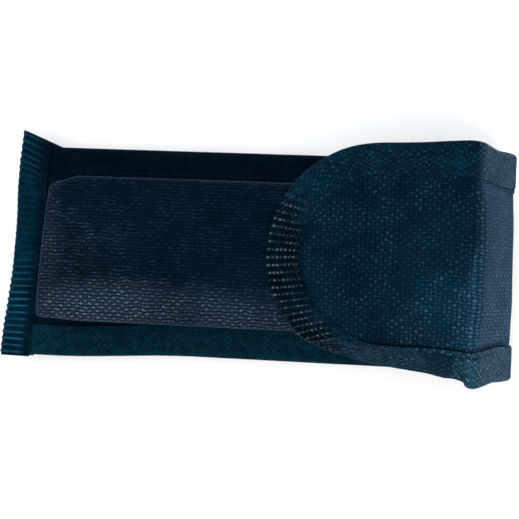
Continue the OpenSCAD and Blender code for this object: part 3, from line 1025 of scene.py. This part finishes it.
def make_back():
    gs, gy = back_grid()
    join = ease(-6, 0.5, gs)
    top = mix(1.4, stack_top(gs, gy), join)
    fabric = between("back_fabric", gs, gy, top, top - mix(0.9, shell_thickness(gs, gy), join), FABRIC)
    x = FOOT_X + np.minimum(gs, 0)
    raised = (ease(LINING_HIGH[1] - 11.9, LINING_HIGH[1] - 13.4, np.abs(gy)) * ease(-62, -59.5, x)
              * ease(0.0, -3.0, gs))
    low = mix(mix(0.0, -1.2, raised), stack_low(gs, gy), join)
    lining = between("back_lining_cloth", gs, gy, low + mix(0.5, 0.45, join), low, LINING)
    # Painted light on the crown's part of the back fabric.
    set_point_attribute(fabric, flap_painted_light)
    return fabric, lining


def make_back_board():
    x, y = field(BOARD_LOW, BOARD_HIGH, 2.0, 1.5)
    pinch = 1 - 0.03 * ease(BOARD_HIGH[0] - 3, BOARD_HIGH[0], np.abs(x))
    s = x - FOOT_X
    return between("back_board", s, y * pinch, 0.48, -0.68, FOAM)


def make_panel_tapes():
    out = []
    for side, name in ((1, "side_tape_left"), (-1, "side_tape_right")):
        x = spread(-70.0 if side > 0 else -75.0, FOOT_X + 0.4, 0.3)
        edge = np.stack([x, side * side_line(x, side)], -1)
        inward = np.tile([0.0, -float(side)], (len(x), 1))
        out.append(tape(name, edge, inward, panel, SIDE_TAPE, width=8.9, half=1.0, rib=0.04, lift=0.35))
    y = spread(SIDE_HALF + LEFT_FLARE + 0.8, -SIDE_HALF - RIGHT_FLARE - 0.9, 0.3)
    edge = np.stack([end_line(y), y], -1)
    turn = np.radians(-23 * ease(12, 33, y))
    inward = np.stack([np.cos(turn), np.sin(turn)], -1)
    band = tape("end_tape", edge, inward, panel, END_TAPE, width=9.3, half=1.75, rib=0.34, bead=0.15,
                inner=3.0, shown=mix(0.25, 1, end_bars(0, y, 0)))
    set_point_attribute(band, end_bars, "beads")
    # The right side tape is painted lighter all over as the lit side and the left stays dark as the shaded
    # side: painted light and shade.
    set_point_attribute(out[1], lambda x, y, z: 0.75 + 0 * x)
    out.append(band)
    return out


def make_panel_stitches():
    build = Build()
    for side in (1, -1):
        x = spread(-62, FOOT_X - 1, 0.5)
        y = side * (side_line(x, side) - 7.0)
        for height, out in ((2.25, 1.0), (-2.25, -1.0)):
            stitch_row(build, *surface_row(panel, x, y, height, out))
    y = spread(SIDE_HALF + 1.5, -SIDE_HALF + 1.5, 0.5)
    for height, out in ((2.66, 1.0), (-2.66, -1.0)):
        stitch_row(build, *surface_row(panel, end_line(y) + 7.6, y, height, out))
    return build.object("panel_stitches", THREAD)


def make_crown_tapes():
    out = []
    for side, name in ((1, "crown_tape_left"), (-1, "crown_tape_right")):
        s = spread(-1.2, MID_S, 0.3)
        edge = np.stack([s, side * half_width(np.maximum(s, 0))], -1)
        inward = np.tile([0.0, -float(side)], (len(s), 1))
        band = tape(name, edge, inward, strip, TAPE, rib=0.06, shown=np.full(len(s), 1.0))
        # Painted light on the crown's tapes, as on the flap.
        set_point_attribute(band, flap_painted_light)
        out.append(band)
    return out


# ---------------------------------------------------------------- pieces: pocket

def make_pocket():
    cap, rings = pocket_surface()
    every = len(rings)
    shell = pocket_layer("pocket_fabric", cap, rings, FACE_FABRIC, (0.0, 0.0), (SHELL_T, SHELL_T), every)
    # Painted highlight: the face is painted lighter along its right side and round its closed end.
    set_point_attribute(shell, pocket_painted_sheen)
    foam = pocket_layer("pocket_foam", cap, rings, FOAM, (SHELL_T, SHELL_T), (STACK_T, STACK_T), FOAM_RINGS)
    lining = pocket_layer("pocket_lining", cap, rings, LINING, (STACK_T, SHELL_T),
                          (STACK_T + LINING_T, SHELL_T + LINING_T), every)
    return shell, foam, lining


def make_loop_field():
    x, y = field(LOOPS_LOW, LOOPS_HIGH, 0.35, 0.35)
    z = face_height(x, y)
    rng = np.random.default_rng(21)
    pile = 0.62 + 0.16 * rng.random(x.shape)
    top, bottom = np.stack([x, y, z + pile], -1), np.stack([x, y, z + 0.03], -1)
    return thick_layer("loop_field", top, bottom, np.stack([x, y], -1), LOOPS)


def make_patch_stitches():
    build = Build()
    inset = 1.3
    (x0, y0), (x1, y1) = (LOOPS_LOW + inset)[:2], (LOOPS_HIGH - inset)[:2]
    corners = [(x0, y0), (x1, y0), (x1, y1), (x0, y1), (x0, y0)]
    for (ax, ay), (bx, by) in zip(corners, corners[1:]):
        x, y = np.linspace(ax, bx, 40), np.linspace(ay, by, 40)
        path = np.stack([x, y, face_height(x, y) + 0.85], -1)
        stitch_row(build, path, np.tile([0.0, 0.0, 1.0], (40, 1)))
    return build.object("loop_patch_stitches", THREAD)


def rim_section():
    """Y, Z and outward normal along the pocket's section at the rim, from right foot to left foot."""
    low, top, r = BAND_LOW[2] - 0.3, FACE_Z - 0.35, FACE_R
    rise = top - r - low
    across = 2 * (BOX_HALF - r)
    total = 2 * rise + math.pi * r + across
    q = spread(0, total, 0.3)
    arc = math.pi / 2 * r
    spots = np.array([0, rise, rise + arc, rise + arc + across, rise + 2 * arc + across, total])
    angle = np.interp(q, spots, [math.pi, math.pi, math.pi / 2, math.pi / 2, 0, 0])
    straight_y = np.interp(q, spots, [-1, -1, -1, 1, 1, 1]) * (BOX_HALF - r)
    straight_z = np.interp(q, spots, [low, top - r, top - r, top - r, top - r, low])
    ny, nz = np.cos(angle), np.sin(angle)
    return q, straight_y + ny * r, straight_z + nz * r, ny, nz


def make_mouth_tape():
    q, y, z, ny, nz = rim_section()
    y = y * (1 + 0.022 * np.sin(np.pi * np.clip((z - 12) / 26, 0, 1)))

    def where(distance, along, h):
        k = np.clip(along, 0, q[-1])
        yy, zz, my, mz = (np.interp(k, q, v) for v in (y, z, ny, nz))
        off = h - 1.3
        return np.stack([rim_x(zz) + 0.9 - distance, yy + my * off, zz + mz * off], -1)

    edge = np.stack([np.zeros(len(q)), q], -1)
    inward = np.tile([1.0, 0.0], (len(q), 1))
    band = tape("mouth_tape", edge, inward, where, TAPE, width=8.6, half=1.32, rib=0.1, bead=0.5)
    build = Build()
    stitch_row(build, *surface_row(where, np.full(len(q), 6.9), q, 2.12))
    return band, build.object("mouth_stitches", THREAD)


# ---------------------------------------------------------------- pieces: belt loop

STRAP_T = 2.0
STRAP_GAP_END, STRAP_SLOPE_END = 30.0, 36.0


def strap_line():
    """X, Z and normal along the middle of the belt loop's webbing."""
    high, low = STRAP_HIGH[2] - STRAP_T / 2, STRAP_T / 2
    end = STRAP_HIGH[0]
    corner_x = np.array([-end, -STRAP_SLOPE_END, -STRAP_GAP_END, STRAP_GAP_END, STRAP_SLOPE_END, end])
    corner_z = np.array([high, high, low, low, high, high])
    run = np.concatenate([[0], np.cumsum(np.hypot(np.diff(corner_x), np.diff(corner_z)))])
    q = spread(0, run[-1], 0.4)
    x, z = np.interp(q, run, corner_x), np.interp(q, run, corner_z)
    kernel = np.hanning(9)[1:-1] / np.hanning(9)[1:-1].sum()
    z = np.convolve(np.pad(z, 3, mode="edge"), kernel, "valid")
    tx, tz = np.gradient(x), np.gradient(z)
    size = np.hypot(tx, tz)
    return q, x, z, -tz / size, tx / size


def make_strap():
    q, x, z, nx, nz = strap_line()
    half = STRAP_HIGH[1]
    t = np.linspace(0, math.tau, 97)[:-1]
    cy = np.sign(np.cos(t)) * np.abs(np.cos(t)) ** 0.25 * half
    ch = np.sign(np.sin(t)) * np.abs(np.sin(t)) ** 0.5 * (STRAP_T / 2 - 0.05)
    cord = 0.10 * np.cos(math.tau * cy / 1.9) * (np.abs(cy) < half - 1)
    ch = ch - np.sign(ch) * np.abs(cord) * 0.8
    fine = 1 + 0.02 * np.sin(math.tau * q / 1.2)[:, None]
    h = ch[None, :] * fine
    points = np.stack([x[:, None] + nx[:, None] * h, np.broadcast_to(cy, h.shape),
                       z[:, None] + nz[:, None] * h], -1)
    flat = np.stack(np.broadcast_arrays(q[:, None], np.append(cy, cy[0])[None]), -1)
    return swept("belt_webbing", points, flat, WEBBING)


def make_strap_stitches():
    """A sewn box with a cross at each end of the webbing, on its outer face."""
    build = Build()
    z = BACK_Z - STRAP_T - 0.02
    down = np.tile([0.0, 0.0, -1.0], (60, 1))
    for side in (-1, 1):
        x0, x1 = side * (STRAP_SLOPE_END + 2.0), side * (STRAP_HIGH[0] - 1.4)
        y1 = STRAP_HIGH[1] - 2.0
        a, b, c, d = (x0, -y1), (x0, y1), (x1, -y1), (x1, y1)
        lines = [(a, b), (c, d), (a, c), (b, d), (a, d), (b, c)]
        for (ax, ay), (bx, by) in lines:
            path = np.stack([np.linspace(ax, bx, 60), np.linspace(ay, by, 60), np.full(60, z)], -1)
            stitch_row(build, path, down, pitch=2.4, length=1.9)
    return build.object("belt_loop_stitches", THREAD)


def make_strap_tacks():
    low, high = node_box("belt_loop_bar_tacks")
    build = Build()
    for side_x in (-1, 1):
        for side_y in (-1, 1):
            x = side_x * (high[0] - 0.8)
            middle = side_y * (high[1] - 6.0)
            for k in np.arange(-5.6, 5.61, 0.56):
                a = np.array([[x - 0.8, middle + k, low[2] + 0.25]])
                b = np.array([[x + 0.8, middle + k + 0.28, low[2] + 0.25]])
                capsules(build, a, b, np.array([[0.0, 0.0, -1.0]]), 0.19, 0.12)
    return build.object("belt_loop_tacks", THREAD)


# ---------------------------------------------------------------- assembly


def over_foot(obj):
    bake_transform(obj)


def over_fold(obj):
    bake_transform(obj)


def assemble():
    back, back_lining = make_back()
    for obj in (back, back_lining):
        over_foot(obj)
    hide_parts("back_shell")
    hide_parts("back_lining")
    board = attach(make_back_board(), "pouch")
    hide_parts("back_stiffener")
    flap, flap_lining, flap_tape = make_flap()
    flap_stitches, tack = make_flap_stitches(), make_flap_tack()
    for obj in (flap, flap_lining, flap_tape, flap_stitches):
        over_fold(obj)
    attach(tack, "flap")
    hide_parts("flap_shell", "crown_shell")
    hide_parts("flap_lining", "crown_lining")
    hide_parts("flap_binding")
    flap_board = make_board("flap_board", RISE + 5, TIP_CENTRE_S + 20.5)
    crown_board = make_board("crown_board", 5.5, RISE - 5)
    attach(flap_board, "flap")
    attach(crown_board, "crown")
    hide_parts("flap_stiffener")
    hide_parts("crown_stiffener")
    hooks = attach(make_hook_field(), "flap")
    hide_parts("hook_patch")
    crown_left, crown_right = make_crown_tapes()
    for obj, node in ((crown_left, "crown_binding_left"), (crown_right, "crown_binding_right")):
        over_foot(obj)
        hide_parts(node)
    shell, foam, lining = make_pocket()
    band, band_stitches = make_mouth_tape()
    loops, loop_stitches = make_loop_field(), make_patch_stitches()
    left, right, end = make_panel_tapes()
    panel_stitches = make_panel_stitches()
    strap, strap_stitches, strap_tacks = make_strap(), make_strap_stitches(), make_strap_tacks()
    stands_for = ((shell, "front_shell"), (foam, "front_foam"), (lining, "front_lining"),
                  (band, "mouth_binding"), (band_stitches, None), (loops, "loop_patch"),
                  (loop_stitches, None), (left, "side_binding_left"), (right, "side_binding_right"),
                  (end, "end_binding"), (panel_stitches, None), (strap, "belt_loop"),
                  (strap_stitches, None), (strap_tacks, "belt_loop_bar_tacks"))
    for obj, node in stands_for:
        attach(obj, "pouch")
        if node:
            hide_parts(node)


# ---------------------------------------------------------------- stage

CAMERA_PLACE = np.array([60.0, 0.0, 420.0])
CAMERA_AIM = np.array([-0.6, -0.8, 0.0])
CAMERA_ROLL = math.radians(2.46)
CAMERA_LENS = 96.0


def make_camera():
    data = bpy.data.cameras.new("camera")
    data.lens, data.sensor_width = CAMERA_LENS, 36.0
    data.clip_start, data.clip_end = 0.01, 10.0
    camera = bpy.data.objects.new("camera", data)
    bpy.context.scene.collection.objects.link(camera)
    ahead = Vector(CAMERA_AIM - CAMERA_PLACE).normalized()
    up = Vector((-math.sin(CAMERA_ROLL), math.cos(CAMERA_ROLL), 0.0))
    right = ahead.cross(up).normalized()
    up = right.cross(ahead)
    turn = Matrix((right, up, -ahead)).transposed().to_4x4()
    camera.matrix_world = Matrix.Translation(Vector(CAMERA_PLACE * MM)) @ turn
    bpy.context.scene.camera = camera


def make_light(name, place, aim, size, power, colour):
    data = bpy.data.lights.new(name, "AREA")
    data.shape, data.size, data.energy, data.color = "DISK", size, power, colour
    light = bpy.data.objects.new(name, data)
    bpy.context.scene.collection.objects.link(light)
    light.location = place
    light.rotation_mode = "QUATERNION"
    light.rotation_quaternion = (Vector(aim) - Vector(place)).to_track_quat("-Z", "Y")


def make_floor():
    material = bpy.data.materials.new("pale_floor")
    material.use_nodes = True
    shader = material.node_tree.nodes["Principled BSDF"]
    shader.inputs["Base Color"].default_value = (0.86, 0.87, 0.88, 1.0)
    shader.inputs["Roughness"].default_value = 0.9
    mesh = bpy.data.meshes.new("floor")
    reach = 3.0
    corners = [(-reach, -reach, 0), (reach, -reach, 0), (reach, reach, 0), (-reach, reach, 0)]
    mesh.from_pydata(corners, [], [(0, 1, 2, 3)])
    mesh.materials.append(material)
    floor = bpy.data.objects.new("floor", mesh)
    floor.location.z = -0.0002
    bpy.context.scene.collection.objects.link(floor)


def make_stage():
    make_floor()
    make_light("key", (0.34, -0.5, 0.62), (0.01, 0.0, 0.02), 0.5, 5.8, (1.0, 0.99, 0.98))
    make_light("fill", (-0.3, 0.7, 0.7), (0.0, 0.0, 0.0), 0.8, 7.2, (0.97, 0.98, 1.0))
    make_light("top", (0.0, 0.05, 1.1), (0.0, 0.0, 0.0), 1.3, 12.5, (1.0, 1.0, 1.0))
    world = bpy.data.worlds.new("soft_room")
    world.use_nodes = True
    back = world.node_tree.nodes["Background"]
    back.inputs["Color"].default_value = (0.86, 0.92, 1.0, 1.0)
    back.inputs["Strength"].default_value = 0.1
    bpy.context.scene.world = world
    bpy.context.scene.view_settings.view_transform = "Standard"


make_camera()
assemble()
make_stage()
